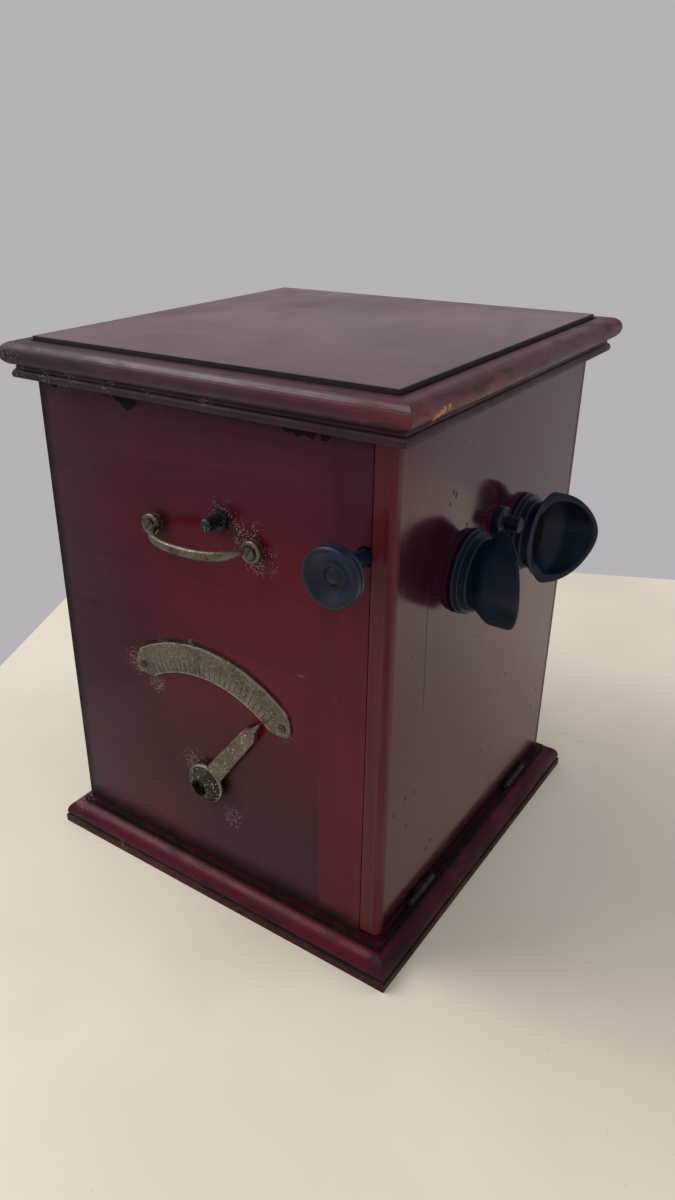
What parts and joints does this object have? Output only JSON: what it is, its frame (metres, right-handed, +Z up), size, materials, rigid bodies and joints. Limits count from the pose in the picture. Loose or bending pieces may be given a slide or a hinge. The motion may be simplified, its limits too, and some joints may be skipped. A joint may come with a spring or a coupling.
{
  "type": "stereoscope",
  "caption": "Table-top wooden stereo slide viewer: two eyepieces on a drop-down door, side pointer and scale that index a slide tray, side lever that lifts a slide.",
  "frame": {"origin": "centre of the flat underside of the base board", "axes": "+Z up, the two eyepieces face -Y, the side with the bow handle, scale and pointer faces -X"},
  "size_m": [0.286, 0.2733, 0.32],
  "materials": {
    "polished_mahogany": "french polished, worn",
    "polished_door": "french polished, glossy",
    "plain_wood": "plain",
    "ground_glass": "ground",
    "clear_glass": "clear",
    "worn_nickel": "worn nickel plate",
    "ebonite": "satin",
    "blackened_metal": "matt black",
    "steel": "dull",
    "magnet": "plain",
    "brass": "aged"
  },
  "bodies": {
    "cabinet": {"base_board": "polished_mahogany", "plinth_mouldings": "polished_mahogany", "left_panel": "polished_mahogany", "left_stile": "polished_mahogany", "right_panel": "polished_mahogany", "right_stile": "polished_mahogany", "back_frame": "polished_mahogany", "ground_glass": "ground_glass", "glass_beads": "polished_mahogany", "top_board": "polished_mahogany", "cornice_mouldings": "polished_mahogany", "hinge_base_leaves": "brass", "hinge_pins": "steel", "scale_plate": "worn_nickel", "bow_handle": "worn_nickel", "wall_screws": "brass", "wall_bushes": "brass", "deck_board": "plain_wood", "deck_battens": "plain_wood", "tray_runners": "brass", "lift_rail": "steel", "septum": "blackened_metal"},
    "door": {"front_door": "polished_door", "hinge_door_leaves": "brass", "focus_bearings": "brass", "guide_rods": "steel"},
    "focus_spindle": {"focus_shaft": "steel", "focus_knob": "ebonite", "focus_pinions": "brass"},
    "focus_carriage": {"focus_plate": "brass", "focus_racks": "brass", "slide_gibs": "brass"},
    "spacing_control": {"spacing_knob": "ebonite", "spacing_spindle": "steel"},
    "left_eyepiece": {"left_lens_slide": "brass", "left_tube": "blackened_metal", "left_flange": "ebonite", "left_lens": "clear_glass", "left_eyecup": "ebonite"},
    "right_eyepiece": {"right_lens_slide": "brass", "right_tube": "blackened_metal", "right_flange": "ebonite", "right_lens": "clear_glass", "right_eyecup": "ebonite"},
    "index_pointer": {"pointer_arm": "worn_nickel", "pointer_shaft": "steel", "index_sector": "brass"},
    "tray": {"tray_carriage": "brass", "index_rack": "brass", "slide_tray": "plain_wood", "glass_slides": "clear_glass"},
    "hold": {"hold_pin": "steel"},
    "lift_control": {"lift_lever": "worn_nickel", "lift_knob": "ebonite", "lift_shaft": "steel", "lift_gear": "brass"},
    "lifter": {"lifter_block": "brass", "lift_rack": "brass", "lift_magnets": "magnet"}
  },
  "joints": [
    {"name": "door_hinge", "type": "hinge", "parent": "cabinet", "child": "door", "pos_m": [0, -0.1131, 0.021], "axis": [1, 0, 0], "range_deg": [0, 75]},
    {"name": "focus_slide", "type": "slide", "parent": "door", "child": "focus_carriage", "axis": [0, -1, 0], "range_m": [0, 0.006]},
    {"name": "focus_turn", "type": "hinge", "parent": "door", "child": "focus_spindle", "pos_m": [-0.1, -0.0972, 0.244], "axis": [-1, 0, 0], "range_deg": [0, 68.76]},
    {"name": "left_eye_slide", "type": "slide", "parent": "focus_carriage", "child": "left_eyepiece", "axis": [-1, 0, 0], "range_m": [-0.0035, 0.0035]},
    {"name": "right_eye_slide", "type": "slide", "parent": "focus_carriage", "child": "right_eyepiece", "axis": [1, 0, 0], "range_m": [-0.0035, 0.0035]},
    {"name": "spacing_turn", "type": "hinge", "parent": "focus_carriage", "child": "spacing_control", "pos_m": [0, -0.115, 0.228], "axis": [0, -1, 0], "range_deg": [-50.2, 50.2]},
    {"name": "tray_slide", "type": "slide", "parent": "cabinet", "child": "tray", "axis": [0, -1, 0], "range_m": [-0.06536, 0.00129]},
    {"name": "pointer_turn", "type": "hinge", "parent": "cabinet", "child": "index_pointer", "pos_m": [-0.113, 0.0035, 0.078], "axis": [1, 0, 0], "range_deg": [-65.7, 1.3]},
    {"name": "hold_slide", "type": "slide", "parent": "cabinet", "child": "hold", "axis": [1, 0, 0], "range_m": [0, 0.01]},
    {"name": "lifter_slide", "type": "slide", "parent": "cabinet", "child": "lifter", "axis": [0, 0, 1], "range_m": [0, 0.12]},
    {"name": "lift_turn", "type": "hinge", "parent": "cabinet", "child": "lift_control", "pos_m": [0.113, 0.049, 0.17048], "axis": [-1, 0, 0], "range_deg": [0, 149.6]}
  ],
  "couplings": [
    {"joint": "focus_turn", "follows": "focus_slide", "rad_per_m": 200},
    {"joint": "right_eye_slide", "follows": "left_eye_slide", "ratio": 1},
    {"joint": "spacing_turn", "follows": "left_eye_slide", "rad_per_m": 250},
    {"joint": "pointer_turn", "follows": "tray_slide", "rad_per_m": 17.544},
    {"joint": "lift_turn", "follows": "lifter_slide", "rad_per_m": 21.739}
  ]
}
